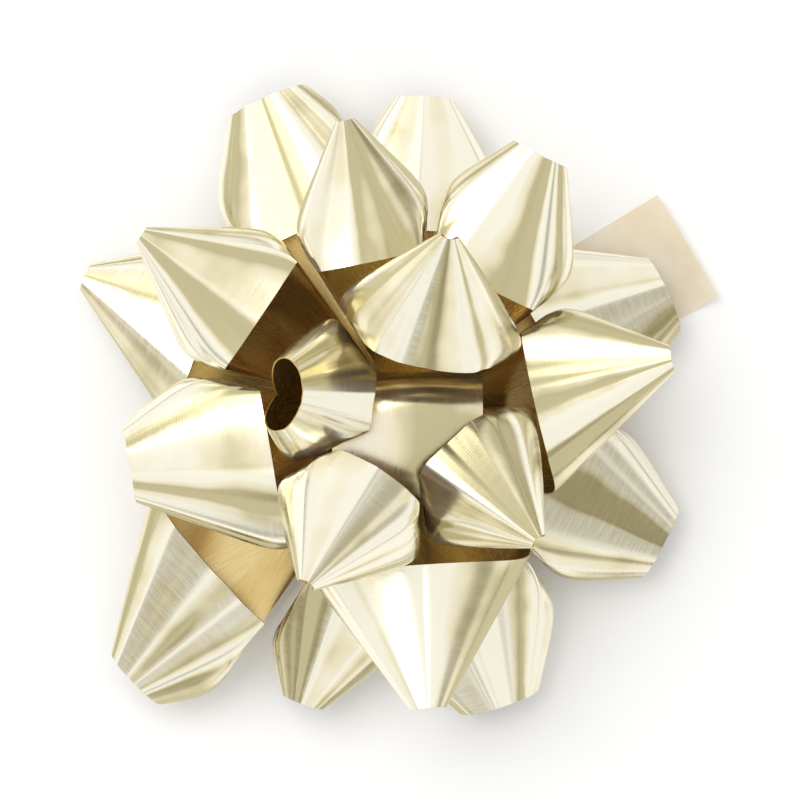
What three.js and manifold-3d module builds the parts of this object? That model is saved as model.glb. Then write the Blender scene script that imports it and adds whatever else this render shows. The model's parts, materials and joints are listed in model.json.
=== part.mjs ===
// A pre-made star gift bow: foil ribbon loops rolled into cones, stapled in three tiers to a small
// card disc that carries a sticky foam pad and its release liner.
// Millimetres, +Z up. The origin is on the staple's axis, on the underside of the release liner.
import * as THREE from "three";
import { mergeVertices } from "three/addons/utils/BufferGeometryUtils.js";
import Module from "manifold-3d";

const wasm = await Module();
wasm.setup();

// ---- driving dimensions ----
const RIBBON = { width: 22, thick: 0.35 };
const GAP = 0.3; // between pieces that touch on a real bow
const LINER = { width: 18, back: 12, reach: 50, thick: 0.3, azimuth: 31 };
const PAD = { side: 16, thick: 1.5 };
const DISC = { radius: 12, thick: 0.8, sides: 32 };
const STACK = { radius: 4.6, height: 9, sides: 16 };
const WIRE = { across: 0.6, thick: 0.5, crown: 6.4, clinch: 2.2 };
const CENTRE = { halfSpan: 12, height: 23, lean: -2, shoulder: 0.75, sides: 24 };
const ROOT = STACK.radius + 0.7; // radius where a loop leaves the stapled stack
const LEVEL = 14; // the length over which the stapled legs, flat at the stack, take up the cone
const SECTOR = { widest: 50, margin: 1.6, overrun: 1.25 }; // degrees, degrees, ratio
const SQUEEZE = 8; // how suddenly a loop stops spreading where it comes up against the next one
const BEYOND = 0.7; // how far the cone's point lies past the loop's tip, as a share of its blunt end
const HOLE = 0.12; // clearance all round the staple in the pieces that it goes through

const AROUND = 20; // facets round a loop
const ACROSS = 4; // and across the ribbon
const HALVINGS = 24; // steps in a search by halves
const UNROLLED = 60; // steps in which half the cone is unrolled
const SLENDEREST = 0.1; // half-widths of the cones tried, at a unit length from the point
const WIDEST = 2;
const STEP = 1e-3; // for slopes, radians or millimetres

// ---- heights up the stack, each from the one below ----
const padBottom = LINER.thick + GAP / 3;
const discBottom = padBottom + PAD.thick + GAP / 3;
const stackBottom = discBottom + DISC.thick + GAP / 3;
const stackTop = stackBottom + STACK.height;

// ---- the loops ----
// azimuth is where the loop points, reach and rise are its tip's radius and height, blunt is how far
// the ribbon's edge stays from the cone's point, roll turns the cone about its own underside (degrees).
// flat is the cone's height as a share of its width, and elbow is how far out, as a share of the
// reach, its underside starts to bend up. Both are the tier's, but a loop may have its own elbow.
const TIERS = {
  outer: {
    root: stackBottom + 0.9,
    elbow: 0.25,
    flat: 0.3,
    loops: [
      { azimuth: 157, reach: 54, rise: 5, blunt: 3, roll: 10 },
      { azimuth: 114, reach: 55, rise: 5, blunt: 10, roll: -6 },
      { azimuth: 87, reach: 50, rise: 5, blunt: 7, roll: 0 },
      { azimuth: 25, reach: 46, rise: 3, blunt: 10, roll: -3 },
      { azimuth: -27, reach: 46, rise: 3, blunt: 10, roll: -3 },
      { azimuth: -72, reach: 49, rise: 3.5, blunt: 10, roll: 6 },
      { azimuth: -110, reach: 48, rise: 6, blunt: 5, roll: 0 },
      { azimuth: -136, reach: 60, rise: 6, blunt: 8, roll: -10 },
    ],
  },
  middle: {
    root: stackBottom + 4.4,
    elbow: 0.42,
    flat: 0.52,
    loops: [
      { azimuth: 146, reach: 48, rise: 32, blunt: 2, roll: 0 },
      { azimuth: 102, reach: 45, rise: 33, blunt: 2, roll: 0 },
      { azimuth: 63, reach: 46, rise: 32, blunt: 7, roll: 0 },
      { azimuth: 12, reach: 41, rise: 32, blunt: 3, roll: 0, elbow: 0.38 },
      { azimuth: -86, reach: 45, rise: 32, blunt: 4, roll: 0 },
      { azimuth: -170, reach: 46, rise: 28, blunt: 10, roll: 0 },
    ],
  },
  inner: {
    root: stackBottom + 5.6,
    elbow: 0.6,
    flat: 0.8,
    loops: [
      { azimuth: 77, reach: 27, rise: 57, blunt: 2, roll: 0 },
      { azimuth: -44, reach: 27, rise: 48, blunt: 2, roll: 0 },
      { azimuth: -121, reach: 29, rise: 56, blunt: 2, roll: 0 },
      { azimuth: 171, reach: 22, rise: 50, blunt: 10, roll: 0, elbow: 0.95 },
    ],
  },
};

const rad = THREE.MathUtils.degToRad;

const foil = new THREE.MeshStandardMaterial({ color: 0xe9dfb6, roughness: 0.28, metalness: 1 });
const card = new THREE.MeshStandardMaterial({ color: 0xf1eee4, roughness: 0.85, metalness: 0 });
const foam = new THREE.MeshStandardMaterial({ color: 0xf5f3ee, roughness: 0.9, metalness: 0 });
const paper = new THREE.MeshStandardMaterial({ color: 0xf3d3ae, roughness: 0.45, metalness: 0 });
const steel = new THREE.MeshStandardMaterial({ color: 0xc4c6c8, roughness: 0.3, metalness: 1 });

const bow = new THREE.Group();

function add(name, geometry, material) {
  const mesh = new THREE.Mesh(geometry, material);
  mesh.name = name;
  bow.add(mesh);
}

// ---- solids and booleans ----
function solidOf(geometry) {
  const bare = geometry.clone();
  bare.deleteAttribute("normal");
  bare.deleteAttribute("uv");
  const merged = mergeVertices(bare, 1e-4);
  const vertProperties = merged.attributes.position.array;
  return new wasm.Manifold(new wasm.Mesh({ numProp: 3, vertProperties, triVerts: merged.index.array }));
}

function geometryOf(solid) {
  const mesh = solid.getMesh();
  return new THREE.BufferGeometry()
    .setAttribute("position", new THREE.BufferAttribute(mesh.vertProperties, 3))
    .setIndex(new THREE.BufferAttribute(mesh.triVerts, 1));
}

function box(x, y, z, sizeX, sizeY, sizeZ) {
  return new THREE.BoxGeometry(sizeX, sizeY, sizeZ).translate(x, y, z + sizeZ / 2);
}

function drum(radius, bottom, height, sides) {
  return new THREE.CylinderGeometry(radius, radius, height, sides)
    .rotateX(Math.PI / 2)
    .translate(0, 0, bottom + height / 2);
}

// ---- the ribbon loop ----
// A straight strip wrapped on a flattened cone. The cone's underside lies along the spine, which leaves
// the stack level, bends up and runs to the cone's point, in the upright plane of the loop's azimuth.

// The cone's line at a turn, 0 on the ridge and half a turn on the underside, as a unit vector from
// its point: along its axis, to the side and up.
function lineAt(cone, turn) {
  const line = new THREE.Vector3(1, cone.wide * Math.sin(turn), cone.tall * Math.cos(turn));
  return line.normalize();
}

// How far round the unrolled ribbon is from the ridge, at even turns up to the underside.
function unroll(cone) {
  const angles = [0];
  for (let i = 1; i <= UNROLLED; i++) {
    const before = lineAt(cone, (Math.PI * (i - 1)) / UNROLLED);
    const after = lineAt(cone, (Math.PI * i) / UNROLLED);
    angles.push(angles[i - 1] + before.distanceTo(after));
  }
  return angles;
}

// The cone, flattened to this share of its width, that takes a given angle of ribbon on each side.
function coneOf(flat, wrap) {
  let [narrow, wide] = [SLENDEREST, WIDEST];
  for (let i = 0; i < HALVINGS; i++) {
    const middle = (narrow + wide) / 2;
    if (unroll({ wide: middle, tall: flat * middle }).at(-1) < wrap) narrow = middle;
    else wide = middle;
  }
  const cone = { wide, tall: flat * wide };
  return { ...cone, tilt: Math.atan(cone.tall), angles: unroll(cone) };
}

function unrolledAngle(cone, turn) {
  const place = (Math.min(Math.abs(turn), Math.PI) / Math.PI) * UNROLLED;
  const before = Math.min(Math.floor(place), UNROLLED - 1);
  return THREE.MathUtils.lerp(cone.angles[before], cone.angles[before + 1], place - before);
}

function shapeLoop(placed, tier, sector) {
  const root = new THREE.Vector2(ROOT, tier.root);
  const tip = new THREE.Vector2(placed.reach, placed.rise);
  const elbow = placed.elbow ?? tier.elbow;
  const bend = new THREE.Vector2(THREE.MathUtils.lerp(ROOT, tip.x, elbow), root.y);
  const rising = tip.clone().sub(bend).normalize();
  const point = tip.addScaledVector(rising, BEYOND * placed.blunt);
  const spine = new THREE.QuadraticBezierCurve(root, bend, point);
  const length = spine.getLength();
  // The strip's two legs meet on the underside, at the stack: that fixes the cone's angle.
  const wrap = Math.acos((placed.blunt + RIBBON.width / 2) / (length + ROOT));
  return { ...placed, spine, length, cone: coneOf(tier.flat, wrap), sector };
}

// A point of the cone, at a distance back from the cone's own point.
function conePoint(loop, turn, back) {
  const { cone, length, spine } = loop;
  const line = lineAt(cone, turn);
  const side = back * line.y;
  const along = length - back * (line.x * Math.cos(cone.tilt) - line.z * Math.sin(cone.tilt));
  const full = THREE.MathUtils.smoothstep(along, 0, LEVEL);
  const up = full * back * (line.x * Math.sin(cone.tilt) + line.z * Math.cos(cone.tilt));
  const t = THREE.MathUtils.clamp(along / length, 0, 1);
  const base = spine.getPointAt(t);
  const tangent = spine.getTangentAt(t);
  const roll = rad(loop.roll);
  const lift = side * Math.sin(roll) + up * Math.cos(roll);
  return {
    radius: base.x - tangent.y * lift,
    across: side * Math.cos(roll) - up * Math.sin(roll),
    height: base.y + tangent.x * lift,
  };
}

// How far a loop may spread to either side at this radius before it meets the next one.
function spread(loop, radius, across) {
  const half = across > 0 ? loop.sector.left : loop.sector.right;
  return Math.max(radius, ROOT) * Math.tan(rad(half - SECTOR.margin));
}

function loopPoint(loop, turn, back) {
  const { radius, across, height } = conePoint(loop, turn, back);
  const squeezed = across / (1 + (across / spread(loop, radius, across)) ** SQUEEZE) ** (1 / SQUEEZE);
  const azimuth = rad(loop.azimuth);
  return new THREE.Vector3(
    radius * Math.cos(azimuth) - squeezed * Math.sin(azimuth),
    radius * Math.sin(azimuth) + squeezed * Math.cos(azimuth),
    height,
  );
}

function fits(loop, turn, back) {
  const { radius, across } = conePoint(loop, turn, back);
  return radius > ROOT && Math.abs(across) < SECTOR.overrun * spread(loop, radius, across);
}

// The ribbon's two edges at this turn: near the cone's point, and round its mouth.
function edges(loop, turn) {
  const stretch = 1 / Math.cos(unrolledAngle(loop.cone, turn));
  const near = loop.blunt * stretch;
  let far = Math.min((loop.blunt + RIBBON.width) * stretch, loop.length);
  let inside = near;
  for (let i = 0; i < HALVINGS && !fits(loop, turn, far); i++) {
    const middle = (inside + far) / 2;
    if (fits(loop, turn, middle)) inside = middle;
    else far = middle;
  }
  return [near, far];
}

function loopGeometry(loop) {
  const skins = [[], []];
  for (let i = 0; i < AROUND; i++) {
    const turn = -Math.PI + (2 * Math.PI * i) / AROUND;
    const [near, far] = edges(loop, turn);
    for (let j = 0; j <= ACROSS; j++) {
      const back = near + ((far - near) * j) / ACROSS;
      const point = loopPoint(loop, turn, back);
      const around = loopPoint(loop, turn + STEP, back).sub(loopPoint(loop, turn - STEP, back));
      const outward = loopPoint(loop, turn, back - STEP).sub(loopPoint(loop, turn, back + STEP));
      const normal = around.cross(outward).normalize();
      skins[0].push(point.clone().addScaledVector(normal, RIBBON.thick / 2));
      skins[1].push(point.clone().addScaledVector(normal, -RIBBON.thick / 2));
    }
  }
  const rows = ACROSS + 1;
  const at = (skin, i, j) => (skin * AROUND + (i % AROUND)) * rows + j;
  const index = [];
  const quad = (a, b, c, d) => index.push(a, b, c, a, c, d);
  for (let i = 0; i < AROUND; i++) {
    for (let j = 0; j < ACROSS; j++) {
      quad(at(0, i, j), at(0, i, j + 1), at(0, i + 1, j + 1), at(0, i + 1, j));
      quad(at(1, i, j), at(1, i + 1, j), at(1, i + 1, j + 1), at(1, i, j + 1));
    }
    quad(at(0, i, 0), at(0, i + 1, 0), at(1, i + 1, 0), at(1, i, 0));
    quad(at(0, i, ACROSS), at(1, i, ACROSS), at(1, i + 1, ACROSS), at(0, i + 1, ACROSS));
  }
  return new THREE.BufferGeometry().setFromPoints([...skins[0], ...skins[1]]).setIndex(index);
}

// The room a loop has on each side: half the angle to the next loop of its tier, in degrees.
function sectorOf(placed, loops) {
  const turns = loops
    .filter((other) => other !== placed)
    .map((other) => (other.azimuth - placed.azimuth + 720) % 360);
  const left = Math.min(...turns) / 2;
  const right = (360 - Math.max(...turns)) / 2;
  return { left: Math.min(left, SECTOR.widest), right: Math.min(right, SECTOR.widest) };
}

for (const [tierName, tier] of Object.entries(TIERS)) {
  tier.loops.forEach((placed, i) => {
    const loop = shapeLoop(placed, tier, sectorOf(placed, tier.loops));
    add(`${tierName}_loop_${i + 1}`, loopGeometry(loop), foil);
  });
}

// ---- the staple: crown under the disc, legs up through the stack, points clinched over ----
function stapleSolid(grow) {
  const foot = discBottom - WIRE.thick - GAP / 3;
  const top = stackTop + RIBBON.thick + 2 * GAP + WIRE.thick;
  const legX = (WIRE.crown - WIRE.across) / 2;
  const wide = WIRE.across + 2 * grow;
  const pieces = [box(0, 0, foot - grow, WIRE.crown + 2 * grow, wide, WIRE.thick + 2 * grow)];
  for (const side of [-1, 1]) {
    const clinchX = side * (legX - WIRE.clinch / 2 + WIRE.across / 2);
    pieces.push(box(side * legX, 0, foot, wide, wide, top - foot));
    pieces.push(box(clinchX, 0, top - WIRE.thick, WIRE.clinch, WIRE.across, WIRE.thick));
  }
  return pieces.map(solidOf).reduce((whole, piece) => whole.add(piece));
}

const staple = stapleSolid(0);
const stapleHole = stapleSolid(HOLE);

// ---- the centre loop: a plain upright ring of ribbon on the stack, leaning a little to one side ----
// The lower half is an ellipse; the upper half has fuller shoulders and a flatter top.
function ringOutline(halfSpan, bottom, top) {
  const points = [];
  for (let i = 0; i < CENTRE.sides; i++) {
    const angle = (2 * Math.PI * i) / CENTRE.sides;
    const fullness = Math.sin(angle) > 0 ? CENTRE.shoulder : 1;
    const filled = (value) => Math.sign(value) * Math.abs(value) ** fullness;
    const [out, over] = [filled(Math.cos(angle)), filled(Math.sin(angle))];
    const up = (1 + over) / 2;
    const lean = CENTRE.lean * Math.min(1, 2 * up);
    points.push(new THREE.Vector2(halfSpan * out + lean, bottom + (top - bottom) * up));
  }
  return points;
}

const ringBottom = stackTop + GAP;
const ringTop = stackTop + CENTRE.height;
const outline = new THREE.Shape(ringOutline(CENTRE.halfSpan, ringBottom, ringTop));
const inside = [CENTRE.halfSpan - RIBBON.thick, ringBottom + RIBBON.thick, ringTop - RIBBON.thick];
outline.holes.push(new THREE.Path(ringOutline(...inside)));
const ring = new THREE.ExtrudeGeometry(outline, { depth: RIBBON.width, bevelEnabled: false });
ring.translate(0, 0, -RIBBON.width / 2).rotateX(Math.PI / 2).rotateZ(Math.PI / 2);
add("centre_loop", geometryOf(solidOf(ring).subtract(stapleHole)), foil);

const stack = drum(STACK.radius, stackBottom, STACK.height, STACK.sides);
add("ribbon_stack", geometryOf(solidOf(stack).subtract(stapleHole)), foil);
const disc = drum(DISC.radius, discBottom, DISC.thick, DISC.sides);
add("base_disc", geometryOf(solidOf(disc).subtract(stapleHole)), card);
add("staple", geometryOf(staple), steel);

const linerTurn = rad(LINER.azimuth);
const pad = box(0, 0, padBottom, PAD.side, PAD.side, PAD.thick).rotateZ(linerTurn);
add("adhesive_pad", geometryOf(solidOf(pad).subtract(stapleHole)), foam);
const linerLength = LINER.back + LINER.reach;
const liner = box(LINER.reach - linerLength / 2, 0, 0, linerLength, LINER.width, LINER.thick);
add("release_liner", liner.rotateZ(linerTurn), paper);

export default bow;
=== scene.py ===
"""A pre-made star gift bow: loops of champagne foil ribbon rolled into cones, stapled in tiers round a
plain centre ring, on a card disc with a sticky foam pad and its release liner.

Shapes are worked out in millimetres and turned into metres where a mesh is made."""
import json
import math
import random

import bmesh
import bpy
import numpy as np
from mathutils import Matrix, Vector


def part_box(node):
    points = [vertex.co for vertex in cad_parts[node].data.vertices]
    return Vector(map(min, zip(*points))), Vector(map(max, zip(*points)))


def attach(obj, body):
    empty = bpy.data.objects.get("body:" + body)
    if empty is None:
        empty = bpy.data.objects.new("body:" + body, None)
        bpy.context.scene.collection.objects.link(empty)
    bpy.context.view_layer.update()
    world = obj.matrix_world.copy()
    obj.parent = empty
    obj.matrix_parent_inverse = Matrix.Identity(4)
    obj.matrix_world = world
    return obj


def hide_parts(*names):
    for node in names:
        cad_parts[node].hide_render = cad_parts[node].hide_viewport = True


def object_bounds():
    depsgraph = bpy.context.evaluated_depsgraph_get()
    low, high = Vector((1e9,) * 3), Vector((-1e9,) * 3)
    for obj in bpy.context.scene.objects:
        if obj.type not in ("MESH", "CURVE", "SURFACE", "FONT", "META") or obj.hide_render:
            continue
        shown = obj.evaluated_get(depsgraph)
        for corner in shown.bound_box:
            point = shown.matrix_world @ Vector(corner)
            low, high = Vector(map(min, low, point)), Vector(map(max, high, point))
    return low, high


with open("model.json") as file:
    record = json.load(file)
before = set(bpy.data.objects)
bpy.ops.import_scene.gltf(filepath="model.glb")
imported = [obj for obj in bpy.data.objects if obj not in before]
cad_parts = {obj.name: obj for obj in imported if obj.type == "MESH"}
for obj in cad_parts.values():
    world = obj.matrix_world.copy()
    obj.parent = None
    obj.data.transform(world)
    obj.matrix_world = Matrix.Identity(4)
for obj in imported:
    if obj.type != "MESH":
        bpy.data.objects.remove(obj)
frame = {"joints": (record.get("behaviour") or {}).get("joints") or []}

cad_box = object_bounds()

MM = 0.001
THICK = 0.2  # of the ribbon, twice a real foil's so that its edge shows


def corners(node):
    """A CAD node's lowest and highest corners, in mm."""
    low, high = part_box(node)
    return np.array(low) / MM, np.array(high) / MM


STACK_LOW, STACK_HIGH = corners("ribbon_stack")
STACK_RADIUS = STACK_HIGH[0]
WIDTH = np.ptp(corners("centre_loop"), axis=0)[0]  # of the ribbon
ROOT = STACK_RADIUS + 0.7  # radius where a loop leaves the stapled stack
LEVEL = 14.0  # the length over which the stapled legs, flat at the stack, take up the cone
BEYOND = 0.7  # how far the cone's point lies past the loop's tip, as a share of its blunt end
SQUEEZE = 8  # how suddenly a loop stops spreading where it comes up against the next one
WIDEST = 50.0  # the most room that a loop has on either side, in degrees
MARGIN = 1.6  # degrees kept clear between a loop and the edge of its own room
OVERRUN = 1.25  # how far past its room the ribbon may reach before its edge is cut short, as a ratio

# ---- the loops ----
# azimuth is where a loop points, reach and rise are its tip's radius and height, blunt is how far the
# ribbon's edge stays from the cone's point, and roll turns the cone about its own underside.
# flat is the cone's height as a share of its width, and elbow is how far out, as a share of the
# reach, its underside starts to bend up. Both are the tier's, but a loop may have its own elbow.
TIERS = {
    "outer": {
        "root": STACK_LOW[2] + 0.9,
        "elbow": 0.25,
        "flat": 0.3,
        "loops": [
            dict(azimuth=157, reach=54, rise=5, blunt=3, roll=10),
            dict(azimuth=114, reach=55, rise=5, blunt=10, roll=-6),
            dict(azimuth=87, reach=50, rise=5, blunt=7, roll=0),
            dict(azimuth=25, reach=46, rise=3, blunt=10, roll=-3),
            dict(azimuth=-27, reach=46, rise=3, blunt=10, roll=-3),
            dict(azimuth=-72, reach=49, rise=3.5, blunt=10, roll=6),
            dict(azimuth=-110, reach=48, rise=6, blunt=5, roll=0),
            dict(azimuth=-136, reach=60, rise=6, blunt=8, roll=-10),
        ],
    },
    "middle": {
        "root": STACK_LOW[2] + 4.4,
        "elbow": 0.42,
        "flat": 0.52,
        "loops": [
            dict(azimuth=146, reach=48, rise=32, blunt=2, roll=0),
            dict(azimuth=102, reach=45, rise=33, blunt=2, roll=0),
            dict(azimuth=63, reach=46, rise=32, blunt=7, roll=0),
            dict(azimuth=12, reach=41, rise=32, blunt=3, roll=0, elbow=0.38),
            dict(azimuth=-86, reach=45, rise=32, blunt=4, roll=0),
            dict(azimuth=-170, reach=46, rise=28, blunt=10, roll=0),
        ],
    },
    "inner": {
        "root": STACK_LOW[2] + 5.6,
        "elbow": 0.6,
        "flat": 0.8,
        "loops": [
            dict(azimuth=77, reach=27, rise=57, blunt=2, roll=0),
            dict(azimuth=-44, reach=27, rise=48, blunt=2, roll=0),
            dict(azimuth=-121, reach=29, rise=56, blunt=2, roll=0),
            dict(azimuth=171, reach=22, rise=50, blunt=10, roll=0, elbow=0.95),
        ],
    },
}
AROUND = 260  # facets round a loop
ACROSS = 26  # and across the ribbon


# ---- materials ----
def material(name):
    """A new material with its node tree, its Principled shader and a short way to add nodes."""
    made = bpy.data.materials.new(name)
    made.use_nodes = True
    tree = made.node_tree
    shader = tree.nodes["Principled BSDF"]

    def node(kind, links=(), **values):
        added = tree.nodes.new("ShaderNode" + kind)
        for key, value in values.items():
            if hasattr(added, key):
                setattr(added, key, value)
            else:
                added.inputs[key.replace("_", " ")].default_value = value
        for socket, source in dict(links).items():
            tree.links.new(source, added.inputs[socket])
        return added

    return made, shader, node, tree.links.new


def ramp(added, stops):
    """Sets a colour ramp's stops, each a place and a colour."""
    elements = added.color_ramp.elements
    while len(elements) < len(stops):
        elements.new(0.5)
    for element, (place, colour) in zip(elements, stops):
        element.position = place
        element.color = (*colour, 1)
    return added


RIB_PITCH = 0.42  # mm between the fine ribs that run along the ribbon
UV_MM = 10  # mm of ribbon to one unit of its UV map


def ribbon_texture(node, stretch, scale, detail):
    """Noise in ribbon coordinates, drawn out along the ribbon."""
    uv = node("UVMap", uv_map="ribbon").outputs["UV"]
    placed = node("Mapping", {"Vector": uv})
    placed.inputs["Scale"].default_value = (1 / stretch, 1, 1)
    return node("TexNoise", {"Vector": placed.outputs[0]}, Scale=scale, Detail=detail).outputs["Fac"]


def foil(name, stops, roughness, rib_depth, crease_shade_strength, metallic):
    """Metallised film: a colour that drifts at random, painted shade in the crease valleys and painted
    highlight on the crease ridges, and fine ribs along the ribbon.
    """
    made, shader, node, link = material(name)
    cloudy = ribbon_texture(node, 1, 0.9, 2.0)
    grain = ribbon_texture(node, 12, 26, 2.0)
    # the crease height, times the strength of the painted crease shade, is painted into the colour:
    # shade in the valleys, highlight on the ridges
    crease = node("Attribute", attribute_name="crease").outputs["Fac"]
    crease_shading = node("Math", {0: crease, 2: cloudy}, operation="MULTIPLY_ADD")
    crease_shading.inputs[1].default_value = crease_shade_strength
    colours = ramp(node("ValToRGB", {0: crease_shading.outputs[0]}), stops)
    link(colours.outputs["Color"], shader.inputs["Base Color"])

    rough = node("MapRange", {0: grain}, From_Min=0.3, From_Max=0.7)
    rough.inputs["To Min"].default_value = roughness - 0.04
    rough.inputs["To Max"].default_value = roughness + 0.06
    link(rough.outputs[0], shader.inputs["Roughness"])

    across = node("SeparateXYZ", {0: node("UVMap", uv_map="ribbon").outputs["UV"]}).outputs["Y"]
    phase = node("Math", {0: across}, operation="MULTIPLY")
    phase.inputs[1].default_value = UV_MM * 2 * math.pi / RIB_PITCH
    ribs = node("Math", {0: phase.outputs[0]}, operation="SINE")
    relief = node("Math", {0: grain, 2: ribs.outputs[0]}, operation="MULTIPLY_ADD")
    relief.inputs[1].default_value = 1.0
    bump = node("Bump", {"Height": relief.outputs[0]}, Strength=rib_depth, Distance=0.00003)
    link(bump.outputs["Normal"], shader.inputs["Normal"])

    tangent = node("Tangent", direction_type="UV_MAP", uv_map="ribbon")
    link(tangent.outputs[0], shader.inputs["Tangent"])
    shader.inputs["Metallic"].default_value = metallic
    shader.inputs["Anisotropic"].default_value = 0.35
    shader.inputs["Anisotropic Rotation"].default_value = 0.25
    return made


# Olive is painted shade in the crease valleys. White gold is the foil's pale tone and, on the crease
# ridges, painted highlight. On the back, the ramp runs from brown to gold and is darker in the crease
# valleys as painted shade.
WHITE_GOLD, CHAMPAGNE, PAINTED_SHADE_OLIVE = (0.94, 0.90, 0.74), (0.85, 0.77, 0.53), (0.56, 0.50, 0.29)
GOLD, AMBER, BROWN = (0.86, 0.67, 0.32), (0.74, 0.52, 0.20), (0.55, 0.34, 0.12)
FACE_STOPS = [(0.20, PAINTED_SHADE_OLIVE), (0.44, CHAMPAGNE), (0.70, WHITE_GOLD)]
BACK_STOPS = [(0.25, BROWN), (0.45, AMBER), (0.75, GOLD)]
EDGE_STOPS = [(0.30, BROWN), (0.70, AMBER)]
face_foil = foil("foil_face", FACE_STOPS, roughness=0.19, rib_depth=0.03, crease_shade_strength=1.0, metallic=0.86)
back_foil = foil("foil_back", BACK_STOPS, roughness=0.24, rib_depth=0.03, crease_shade_strength=0.5, metallic=0.9)
edge_foil = foil("foil_edge", EDGE_STOPS, roughness=0.35, rib_depth=0.0, crease_shade_strength=0.0, metallic=1.0)
RIBBON_LOOK = [face_foil, back_foil, edge_foil]


def board(name):
    """Pale pressed card: short fibres and a faint mottle."""
    made, shader, node, link = material(name)
    place = node("TexCoord").outputs["Object"]
    fibres = node("TexNoise", {"Vector": place}, Scale=900.0, Detail=6.0, Roughness=0.7)
    mottle = node("TexNoise", {"Vector": place}, Scale=160.0, Detail=3.0)
    both = node("Math", {0: fibres.outputs["Fac"], 1: mottle.outputs["Fac"]}, operation="MULTIPLY")
    stops = [(0.1, (0.70, 0.66, 0.57)), (0.4, (0.88, 0.86, 0.79))]
    colours = ramp(node("ValToRGB", {0: both.outputs[0]}), stops)
    link(colours.outputs["Color"], shader.inputs["Base Color"])
    bump = node("Bump", {"Height": fibres.outputs["Fac"]}, Strength=0.5, Distance=0.00008)
    link(bump.outputs["Normal"], shader.inputs["Normal"])
    shader.inputs["Roughness"].default_value = 0.88
    return made


def foam(name):
    """White foam tape: open cells, with a faint gloss of adhesive."""
    made, shader, node, link = material(name)
    place = node("TexCoord").outputs["Object"]
    cells = node("TexVoronoi", {"Vector": place}, Scale=2600.0, feature="F1")
    clumps = node("TexNoise", {"Vector": place}, Scale=500.0, Detail=3.0)
    stops = [(0.1, (0.93, 0.92, 0.89)), (0.8, (0.72, 0.70, 0.65))]
    colours = ramp(node("ValToRGB", {0: cells.outputs["Distance"]}), stops)
    link(colours.outputs["Color"], shader.inputs["Base Color"])
    height = node("Math", {0: clumps.outputs["Fac"], 1: cells.outputs["Distance"]}, operation="SUBTRACT")
    bump = node("Bump", {"Height": height.outputs[0]}, Strength=0.7, Distance=0.00012)
    link(bump.outputs["Normal"], shader.inputs["Normal"])
    shader.inputs["Roughness"].default_value = 0.55
    return made


def glassine(name):
    """The release liner's paper: smooth, waxed, a little see-through, peach where it is thick."""
    made, shader, node, link = material(name)
    place = node("TexCoord").outputs["Object"]
    clouds = node("TexNoise", {"Vector": place}, Scale=120.0, Detail=4.0, Roughness=0.6)
    fibres = node("TexNoise", {"Vector": place}, Scale=1500.0, Detail=3.0)
    stops = [(0.3, (0.95, 0.80, 0.58)), (0.7, (1.0, 0.93, 0.78))]
    colours = ramp(node("ValToRGB", {0: clouds.outputs["Fac"]}), stops)
    link(colours.outputs["Color"], shader.inputs["Base Color"])
    bump = node("Bump", {"Height": fibres.outputs["Fac"]}, Strength=0.2, Distance=0.00004)
    link(bump.outputs["Normal"], shader.inputs["Normal"])
    shader.inputs["Roughness"].default_value = 0.36
    shader.inputs["Alpha"].default_value = 0.8
    return made


def wire_steel(name):
    """Drawn and plated staple wire: fine scratches along it."""
    made, shader, node, link = material(name)
    place = node("TexCoord").outputs["Object"]
    scratches = node("TexNoise", {"Vector": place}, Scale=4000.0, Detail=4.0)
    stops = [(0.3, (0.50, 0.51, 0.53)), (0.7, (0.74, 0.75, 0.77))]
    colours = ramp(node("ValToRGB", {0: scratches.outputs["Fac"]}), stops)
    link(colours.outputs["Color"], shader.inputs["Base Color"])
    bump = node("Bump", {"Height": scratches.outputs["Fac"]}, Strength=0.3, Distance=0.00002)
    link(bump.outputs["Normal"], shader.inputs["Normal"])
    shader.inputs["Metallic"].default_value = 1.0
    shader.inputs["Roughness"].default_value = 0.28
    return made


card = board("card")
pad_foam = foam("pad_foam")
liner_paper = glassine("glassine")
steel = wire_steel("wire_steel")


# ---- meshes ----
def outward(grid, closed):
    """Unit normals of a strip's face, from its grid of points."""
    if closed:
        run = np.roll(grid, -1, axis=0) - np.roll(grid, 1, axis=0)
    else:
        run = np.gradient(grid, axis=0)
    normal = np.cross(run, np.gradient(grid, axis=1))
    return normal / np.linalg.norm(normal, axis=2, keepdims=True)


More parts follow.
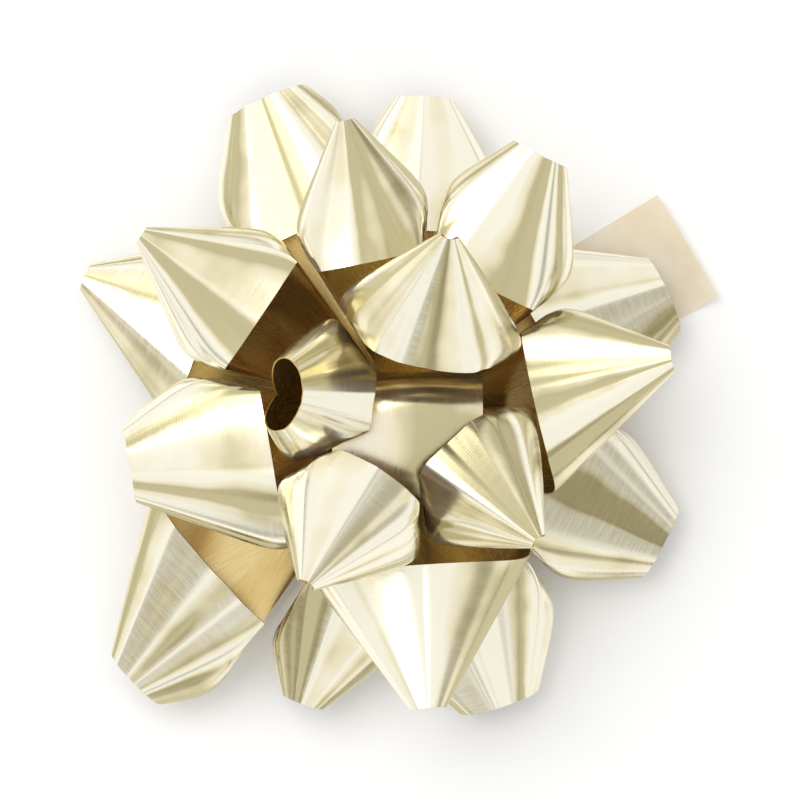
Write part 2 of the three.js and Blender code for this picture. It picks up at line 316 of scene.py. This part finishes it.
def strip_object(name, grid, along, across, closed, crease=None, thick=THICK, look=RIBBON_LOOK):
    """A strip as one closed body: its face and back, half a thickness each side of the grid of
    points, and its edges. The grid is indexed along the strip, then across it."""
    count, rows = grid.shape[:2]
    normal = outward(grid, closed)
    skins = [grid + normal * thick / 2, grid - normal * thick / 2]
    points = np.concatenate([skin.reshape(-1, 3) for skin in skins]) * MM
    uv_of = np.tile(np.stack([along, across], axis=2).reshape(-1, 2) / UV_MM, (2, 1))
    steps = count if closed else count - 1
    last = rows - 1

    def at(skin, i, j):
        return (skin * count + i % count) * rows + j

    faces, sides = [], []

    def quad(a, b, c, d, slot):
        faces.append((a, b, c, d))
        sides.append(slot)

    for i in range(steps):
        k = i + 1
        for j in range(last):
            quad(at(0, i, j), at(0, k, j), at(0, k, j + 1), at(0, i, j + 1), 0)
            quad(at(1, i, j), at(1, i, j + 1), at(1, k, j + 1), at(1, k, j), 1)
        quad(at(0, i, 0), at(1, i, 0), at(1, k, 0), at(0, k, 0), 2)
        quad(at(0, i, last), at(0, k, last), at(1, k, last), at(1, i, last), 2)
    if not closed:
        end = count - 1
        for j in range(last):
            quad(at(0, 0, j), at(0, 0, j + 1), at(1, 0, j + 1), at(1, 0, j), 2)
            quad(at(0, end, j), at(1, end, j), at(1, end, j + 1), at(0, end, j + 1), 2)
    mesh = bpy.data.meshes.new(name)
    mesh.from_pydata(points.tolist(), [], faces)
    for made in look:
        mesh.materials.append(made)
    mesh.polygons.foreach_set("material_index", [min(slot, len(look) - 1) for slot in sides])
    layer = mesh.uv_layers.new(name="ribbon")
    corner_points = np.empty(len(mesh.loops), dtype=np.int32)
    mesh.loops.foreach_get("vertex_index", corner_points)
    uv = uv_of[corner_points]
    layer.data.foreach_set("uv", uv.ravel())
    # the crease height is stored for the foil, which paints shade in the valleys and highlight on the
    # ridges from it
    if crease is not None:
        shade = mesh.attributes.new("crease", "FLOAT", "POINT")
        shade.data.foreach_set("value", np.tile(crease.ravel(), 2))
    return finished(name, mesh)


def finished(name, mesh, sharp=35):
    """Puts a mesh in the scene, smooth except at its sharp edges."""
    mesh.polygons.foreach_set("use_smooth", [True] * len(mesh.polygons))
    mesh.set_sharp_from_angle(angle=math.radians(sharp))
    mesh.update()
    piece = bpy.data.objects.new(name, mesh)
    bpy.context.scene.collection.objects.link(piece)
    return piece


def takes_over(piece, body, slot, *nodes):
    """Makes a piece ride on a body in place of the CAD nodes it stands for."""
    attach(piece, body)
    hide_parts(*nodes)


# ---- the ribbon loop: a straight strip wrapped on a flattened cone ----
HALVINGS = 24  # steps in a search by halves
HALF_ROUND = np.linspace(0, math.pi, 241)


def spine_of(root, bend, tip):
    """The cone's underside, in its upright plane: places and directions by length along it."""
    t = np.linspace(0, 1, 401)[:, None]
    points = (1 - t) ** 2 * root + 2 * t * (1 - t) * bend + t**2 * tip
    slopes = 2 * (1 - t) * (bend - root) + 2 * t * (tip - bend)
    slopes /= np.linalg.norm(slopes, axis=1, keepdims=True)
    steps = np.linalg.norm(np.diff(points, axis=0), axis=1)
    return np.concatenate([[0], np.cumsum(steps)]), points, slopes


def line_at(cone, turn):
    """The cone's line at a turn, 0 on the ridge and half a turn on the underside, as a unit vector
    from its point: along its axis, to the side and up."""
    line = np.stack([np.ones_like(turn), cone["wide"] * np.sin(turn), cone["tall"] * np.cos(turn)])
    return line / np.linalg.norm(line, axis=0)


def unrolled(cone):
    """How far round the unrolled ribbon is from the ridge, at the even turns of HALF_ROUND."""
    lines = line_at(cone, HALF_ROUND)
    return np.concatenate([[0], np.cumsum(np.linalg.norm(np.diff(lines, axis=1), axis=0))])


def cone_of(flat, wrap):
    """The cone, flattened to this share of its width, that takes an angle of ribbon on each side."""
    narrow, wide = 0.1, 2.0
    for _ in range(HALVINGS):
        middle = (narrow + wide) / 2
        if unrolled(dict(wide=middle, tall=flat * middle))[-1] < wrap:
            narrow = middle
        else:
            wide = middle
    cone = dict(wide=wide, tall=flat * wide)
    return dict(cone, tilt=math.atan(cone["tall"]), angles=unrolled(cone))


def unrolled_angle(cone, turn):
    return np.interp(np.abs(turn), HALF_ROUND, cone["angles"])


def shape_loop(placed, tier, sector):
    """Everything that fixes one loop's shape. Its legs meet on the underside, at the stack."""
    root = np.array([ROOT, tier["root"]])
    tip = np.array([placed["reach"], placed["rise"]], dtype=float)
    elbow = placed.get("elbow", tier["elbow"])
    bend = np.array([ROOT + (tip[0] - ROOT) * elbow, root[1]])
    rising = (tip - bend) / np.linalg.norm(tip - bend)
    spine = spine_of(root, bend, tip + rising * BEYOND * placed["blunt"])
    length = spine[0][-1]
    wrap = math.acos((placed["blunt"] + WIDTH / 2) / (length + ROOT))
    cone = cone_of(tier["flat"], wrap)
    return dict(placed, spine=spine, length=length, cone=cone, sector=sector)


def smoothstep(value, low, high):
    share = np.clip((value - low) / (high - low), 0, 1)
    return share * share * (3 - 2 * share)


def cone_point(loop, turn, back):
    """Radius, distance to the side and height of points of the cone, back from its own point."""
    cone, length = loop["cone"], loop["length"]
    ahead, aside, above = line_at(cone, turn)
    side = back * aside
    along = length - back * (ahead * math.cos(cone["tilt"]) - above * math.sin(cone["tilt"]))
    full = smoothstep(along, 0, LEVEL)
    up = full * back * (ahead * math.sin(cone["tilt"]) + above * math.cos(cone["tilt"]))
    lengths, points, slopes = loop["spine"]
    base = [np.interp(along, lengths, points[:, k]) for k in (0, 1)]
    tangent = [np.interp(along, lengths, slopes[:, k]) for k in (0, 1)]
    roll = math.radians(loop["roll"])
    lift = side * math.sin(roll) + up * math.cos(roll)
    across = side * math.cos(roll) - up * math.sin(roll)
    return base[0] - tangent[1] * lift, across, base[1] + tangent[0] * lift


def spread(loop, radius, across):
    """How far a loop may spread to either side at this radius before it meets the next one."""
    left, right = (math.tan(math.radians(half - MARGIN)) for half in loop["sector"])
    return np.maximum(radius, ROOT) * np.where(across > 0, left, right)


def loop_points(loop, turn, back):
    radius, across, height = cone_point(loop, turn, back)
    room = spread(loop, radius, across)
    squeezed = across / (1 + np.abs(across / room) ** SQUEEZE) ** (1 / SQUEEZE)
    azimuth = math.radians(loop["azimuth"])
    x = radius * math.cos(azimuth) - squeezed * math.sin(azimuth)
    y = radius * math.sin(azimuth) + squeezed * math.cos(azimuth)
    return np.stack([x, y, height], axis=-1)


def edges(loop, turn):
    """The ribbon's two edges at each turn: near the cone's point, and round its mouth."""
    stretch = 1 / np.cos(unrolled_angle(loop["cone"], turn))
    near = loop["blunt"] * stretch
    far = np.minimum((loop["blunt"] + WIDTH) * stretch, loop["length"])

    def fits(back):
        radius, across, _ = cone_point(loop, turn, back)
        return (radius > ROOT) & (np.abs(across) < OVERRUN * spread(loop, radius, across))

    low, high = near.copy(), far.copy()
    whole = fits(far)
    for _ in range(HALVINGS):
        half = (low + high) / 2
        inside = fits(half)
        low = np.where(inside, half, low)
        high = np.where(inside, high, half)
    return near, np.where(whole, far, low)


CREASES = 32
CREASE_DEPTH = 0.017  # of the deepest crease, for each mm from the cone's point


def pleats(chance, turn):
    """The creases that run out from a cone's point, as a height for each mm from the point."""
    height = np.zeros_like(turn)
    for _ in range(CREASES):
        centre = chance.uniform(-math.pi, math.pi)
        half_width = chance.uniform(0.05, 0.2)
        depth = chance.choice([-1, 1]) * chance.uniform(0.4, 1) * CREASE_DEPTH * half_width / 0.2
        off = (turn - centre + math.pi) % (2 * math.pi) - math.pi
        height += depth / (1 + (off / half_width) ** 2) ** 1.5
    return height


def build_loop(name, loop, chance):
    turn = -math.pi + 2 * math.pi * np.arange(AROUND) / AROUND
    near, far = edges(loop, turn)
    share = np.linspace(0, 1, ACROSS + 1)
    back = near[:, None] + (far - near)[:, None] * share[None, :]
    turns = np.repeat(turn[:, None], ACROSS + 1, axis=1)
    smooth = loop_points(loop, turns, back)
    crease = pleats(chance, turns)
    shallow = np.cos(turns / 2) ** 4  # none on the legs, which lie flat on one another
    grid = smooth + outward(smooth, True) * (crease * shallow * back)[:, :, None]
    developed = np.sign(turns) * unrolled_angle(loop["cone"], turns)
    start = chance.uniform(0, 200)
    along, across = start + back * np.sin(developed), back * np.cos(developed)
    ribbon = name.replace("loop", "ribbon")
    # the pleat heights go on as the foil's painted crease shade and highlight
    piece = strip_object(ribbon, grid, along, across, True, crease / CREASE_DEPTH)
    takes_over(piece, name, "foil_ribbon", name)


def sector_of(placed, loops):
    """The room on each side: half the angle to the next loop of its tier, in degrees."""
    turns = [(o["azimuth"] - placed["azimuth"]) % 360 for o in loops if o is not placed]
    return min(min(turns) / 2, WIDEST), min((360 - max(turns)) / 2, WIDEST)


def build_loops():
    for tier_name, tier in TIERS.items():
        for i, placed in enumerate(tier["loops"]):
            name = f"{tier_name}_loop_{i + 1}"
            loop = shape_loop(placed, tier, sector_of(placed, tier["loops"]))
            build_loop(name, loop, random.Random(100 * len(tier_name) + i))


build_loops()


# ---- the centre ring ----
SHOULDER = 0.52  # how full the upper half is: 1 for a plain ellipse, less for fuller shoulders


def build_ring():
    low, high = corners("centre_loop")
    middle = (high[2] + low[2]) / 2
    rise = (high[2] - low[2]) / 2 - THICK
    lean = low[1] + high[1]
    half_span = (high[1] - low[1] + lean) / 2 - THICK
    angle = np.linspace(-math.pi / 2, 3 * math.pi / 2, 160, endpoint=False)
    across = np.linspace(-WIDTH / 2, WIDTH / 2, 31)
    angles = np.repeat(angle[:, None], len(across), axis=1)
    xs = np.repeat(across[None, :], len(angle), axis=0)
    fullness = np.where(np.sin(angles) > 0, SHOULDER, 1)
    out = np.sign(np.cos(angles)) * np.abs(np.cos(angles)) ** fullness
    over = np.sign(np.sin(angles)) * np.abs(np.sin(angles)) ** fullness
    up = (1 + over) / 2
    bow_out = 0.35 * np.cos(xs / WIDTH * math.pi) * up
    sway = 0.22 * np.sin(2 * angles + xs / 5) * up
    size = 1 + (sway - 0.6 + bow_out) / half_span
    y = half_span * out * size + lean * np.minimum(1, 2 * up)
    z = middle + rise * over * size
    grid = np.stack([xs, y, z], axis=2)
    # the ring's sway less its bow is passed as its crease height, which the foil paints as shade and
    # highlight
    piece = strip_object("centre_ring", grid, angles * half_span, xs, True, sway - bow_out)
    takes_over(piece, "bow_base", "foil_ribbon", "centre_loop")


build_ring()


# ---- the base: stapled stack, card disc, staple, foam pad, release liner ----
def lofted(name, bodies, look, sharp=35):
    """Closed bodies in one mesh, each skinned over its rings of points and capped at both ends."""
    points, faces = [], []
    for rings in bodies:
        start, count = len(points), len(rings[0])
        for ring in rings:
            points.extend(tuple(np.array(point) * MM) for point in ring)
        for lower in range(start, start + (len(rings) - 1) * count, count):
            for k in range(count):
                a, b = lower + k, lower + (k + 1) % count
                faces.append((a, b, b + count, a + count))
        faces.append(tuple(range(start, start + count))[::-1])
        faces.append(tuple(range(len(points) - count, len(points))))
    mesh = bpy.data.meshes.new(name)
    mesh.from_pydata(points, [], faces)
    mesh.materials.append(look)
    shell = bmesh.new()
    shell.from_mesh(mesh)
    bmesh.ops.recalc_face_normals(shell, faces=shell.faces)
    shell.to_mesh(mesh)
    shell.free()
    return finished(name, mesh, sharp)


def rounded_box(length, width, corner, turn, steps=6):
    """The corners' arcs of a rectangle about the axis, turned by an angle, as x, y points."""
    points = []
    for quarter, (sx, sy) in enumerate([(1, 1), (-1, 1), (-1, -1), (1, -1)]):
        for k in range(steps + 1):
            angle = (quarter + k / steps) * math.pi / 2
            x = sx * (length / 2 - corner) + corner * math.cos(angle)
            y = sy * (width / 2 - corner) + corner * math.sin(angle)
            turned_x = x * math.cos(turn) - y * math.sin(turn)
            turned_y = x * math.sin(turn) + y * math.cos(turn)
            points.append((turned_x, turned_y))
    return points


def slab(outline, low, high, round_off, bulge=0.0):
    """Rings for a plate between two heights: the outline grown or drawn in at each level."""
    radius = max(math.hypot(x, y) for x, y in outline)
    eased = 0.3 * round_off
    levels = [(-round_off, 0), (-eased, 0.12), (bulge, 0.5), (-eased, 0.88), (-round_off, 1)]
    rings = []
    for grown, share in levels:
        scale = 1 + grown / radius
        rings.append([(x * scale, y * scale, low + (high - low) * share) for x, y in outline])
    return rings


def build_stack():
    """The ribbon's crossings, one on another, held by the staple: a flat layer for each loop."""
    azimuths = [loop["azimuth"] for tier in TIERS.values() for loop in tier["loops"]]
    pitch = (STACK_HIGH[2] - STACK_LOW[2]) / len(azimuths)
    half_long = STACK_RADIUS * 0.86
    half_wide = math.sqrt(STACK_RADIUS**2 - half_long**2)
    layers = []
    for k, azimuth in enumerate(azimuths):
        outline = rounded_box(2 * half_long, 2 * half_wide, 0.5, math.radians(azimuth))
        low = STACK_LOW[2] + k * pitch
        layers.append(slab(outline, low, low + 0.92 * pitch, 0.05))
    piece = lofted("ribbon_layers", layers, face_foil)
    takes_over(piece, "bow_base", "foil_ribbon", "ribbon_stack")


def build_disc():
    low, high = corners("base_disc")
    turns = np.linspace(0, 2 * math.pi, 96, endpoint=False)
    circle = [(high[0] * math.cos(turn), high[0] * math.sin(turn)) for turn in turns]
    piece = lofted("card_disc", [slab(circle, low[2], high[2], 0.25)], card)
    takes_over(piece, "bow_base", "card", "base_disc")


def bent_path(points, radius, steps=7):
    """A path in the X-Z plane through its corner points, with a round bend at each inner one."""
    points = [np.array(point, dtype=float) for point in points]
    path = [points[0]]
    for before, corner, after in zip(points, points[1:], points[2:]):
        back = (before - corner) / np.linalg.norm(before - corner)
        on = (after - corner) / np.linalg.norm(after - corner)
        for k in range(steps + 1):
            share = k / steps
            start, end = corner + back * radius, corner + on * radius
            path.append((1 - share) ** 2 * start + 2 * share * (1 - share) * corner + share**2 * end)
    return path + [points[-1]]


def build_staple():
    """Flat wire: crown under the disc, legs up through the stack, points clinched over."""
    low, high = corners("staple")
    across, thick = high[1] - low[1], 0.5
    foot, top = low[2] + thick / 2, high[2] - thick / 2
    leg = high[0] - across / 2
    clinched, dip = 1.9, 0.15  # how far each point is folded in, and how far it dips
    end = leg - clinched
    left = [(-end, top - dip), (-leg, top), (-leg, foot)]
    right = [(leg, foot), (leg, top), (end, top - dip)]
    path = bent_path(left + right, radius=0.55)
    section = rounded_box(across, thick, 0.14, 0, steps=2)
    rings = []
    for k, place in enumerate(path):
        run = path[min(k + 1, len(path) - 1)] - path[max(k - 1, 0)]
        run /= np.linalg.norm(run)
        rings.append([(place[0] - run[1] * v, u, place[1] + run[0] * v) for u, v in section])
    piece = lofted("staple_wire", [rings], steel, sharp=50)
    takes_over(piece, "bow_base", "staple_wire", "staple")


def liner_turn():
    """The way that the liner points, as an angle, and how far its hinge is from the axis."""
    hinge = next(joint for joint in frame["joints"] if joint["name"] == "release_liner_peel")
    x, y, _ = hinge["pos_m"]
    return math.atan2(-y, -x), math.hypot(x, y) / MM


def build_pad():
    low, high = corners("adhesive_pad")
    turn, _ = liner_turn()
    side = (high[0] - low[0]) / (abs(math.cos(turn)) + abs(math.sin(turn)))
    side -= 0.5  # room for the pad's bulge
    top = corners("base_disc")[0][2] - 0.02
    outline = rounded_box(side, side, 0.8, turn)
    piece = lofted("foam_pad", [slab(outline, low[2], top, 0.15, bulge=0.2)], pad_foam)
    takes_over(piece, "bow_base", "foam", "adhesive_pad")


def build_liner():
    """A strip of waxed paper that lies flat under the pad and curls up at its free end."""
    turn, back = liner_turn()
    low, high = corners("release_liner")
    width = 18.0
    reach = (high[0] - width / 2 * math.sin(turn)) / math.cos(turn)
    s = np.linspace(-back, reach, 90)
    w = np.linspace(-width / 2, width / 2, 19)
    ss, ww = np.meshgrid(s, w, indexing="ij")
    free = smoothstep(ss, reach - 7, reach + 2)
    under_pad = 0.22 - 0.1 * smoothstep(ss, 9, 16)
    curl = 2.6 * free**2 + 0.5 * free * np.cos(ww / width * math.pi) ** 2
    height = under_pad + curl
    x = ss * math.cos(turn) - ww * math.sin(turn)
    y = ss * math.sin(turn) + ww * math.cos(turn)
    grid = np.stack([x, y, height], axis=2)
    piece = strip_object("liner_strip", grid, ss, ww, False, thick=0.12, look=[liner_paper])
    takes_over(piece, "release_liner", "liner_paper", "release_liner")


build_stack()
build_disc()
build_staple()
build_pad()
build_liner()


# ---- stage ----
def build_stage():
    bpy.ops.mesh.primitive_plane_add(size=6, location=(0, 0, 0))
    floor = bpy.context.object
    floor.name = "floor"
    made, shader, *_ = material("floor_white")
    shader.inputs["Base Color"].default_value = (0.96, 0.96, 0.96, 1)
    shader.inputs["Roughness"].default_value = 0.9
    floor.data.materials.append(made)


build_stage()


def build_world():
    """A white studio, bright overhead, with soft darker gaps between its panels lower down for the
    foil to mirror. The camera itself sees plain white."""
    world = bpy.data.worlds.new("studio")
    bpy.context.scene.world = world
    world.use_nodes = True
    tree = world.node_tree
    background = tree.nodes["Background"]
    place = tree.nodes.new("ShaderNodeTexCoord")
    panels = tree.nodes.new("ShaderNodeTexNoise")
    panels.inputs["Scale"].default_value = 1.9
    panels.inputs["Detail"].default_value = 1.0
    tree.links.new(place.outputs["Generated"], panels.inputs["Vector"])
    height = tree.nodes.new("ShaderNodeSeparateXYZ")
    tree.links.new(place.outputs["Generated"], height.inputs[0])
    overhead = tree.nodes.new("ShaderNodeMapRange")
    overhead.inputs["From Min"].default_value = 0.75
    overhead.inputs["From Max"].default_value = 0.95
    overhead.inputs["To Max"].default_value = 0.3
    tree.links.new(height.outputs["Z"], overhead.inputs[0])
    lit = tree.nodes.new("ShaderNodeMath")
    tree.links.new(panels.outputs["Fac"], lit.inputs[0])
    tree.links.new(overhead.outputs[0], lit.inputs[1])
    gap, panel = (0.42, 0.40, 0.33), (1.0, 1.0, 1.0)
    grey = ramp(tree.nodes.new("ShaderNodeValToRGB"), [(0.40, gap), (0.50, panel)])
    tree.links.new(lit.outputs[0], grey.inputs[0])
    rays = tree.nodes.new("ShaderNodeLightPath")
    seen = tree.nodes.new("ShaderNodeMixRGB")
    seen.inputs["Color2"].default_value = (1, 1, 1, 1)
    tree.links.new(rays.outputs["Is Camera Ray"], seen.inputs["Fac"])
    tree.links.new(grey.outputs["Color"], seen.inputs["Color1"])
    tree.links.new(seen.outputs["Color"], background.inputs["Color"])
    background.inputs["Strength"].default_value = 1.0


build_world()


def softbox(name, place, size, power):
    data = bpy.data.lights.new(name, "AREA")
    data.shape = "RECTANGLE"
    data.size, data.size_y = size
    data.energy = power
    light = bpy.data.objects.new(name, data)
    light.location = place
    light.rotation_euler = (-light.location).to_track_quat("-Z", "Y").to_euler()
    bpy.context.scene.collection.objects.link(light)


softbox("key", (-0.5, 0.45, 1.1), (0.9, 0.9), 6)


def build_camera():
    low, high = (np.array(side) for side in cad_box)
    middle = (low + high) / 2
    distance, seen = 0.75, 0.118  # metres: from the floor to the lens, and across the picture
    data = bpy.data.cameras.new("camera")
    data.lens = data.sensor_width * (distance - high[2] / 2) / seen
    camera = bpy.data.objects.new("camera", data)
    camera.location = (middle[0], middle[1], distance)
    bpy.context.scene.collection.objects.link(camera)
    bpy.context.scene.camera = camera


build_camera()
bpy.context.scene.view_settings.view_transform = "Standard"
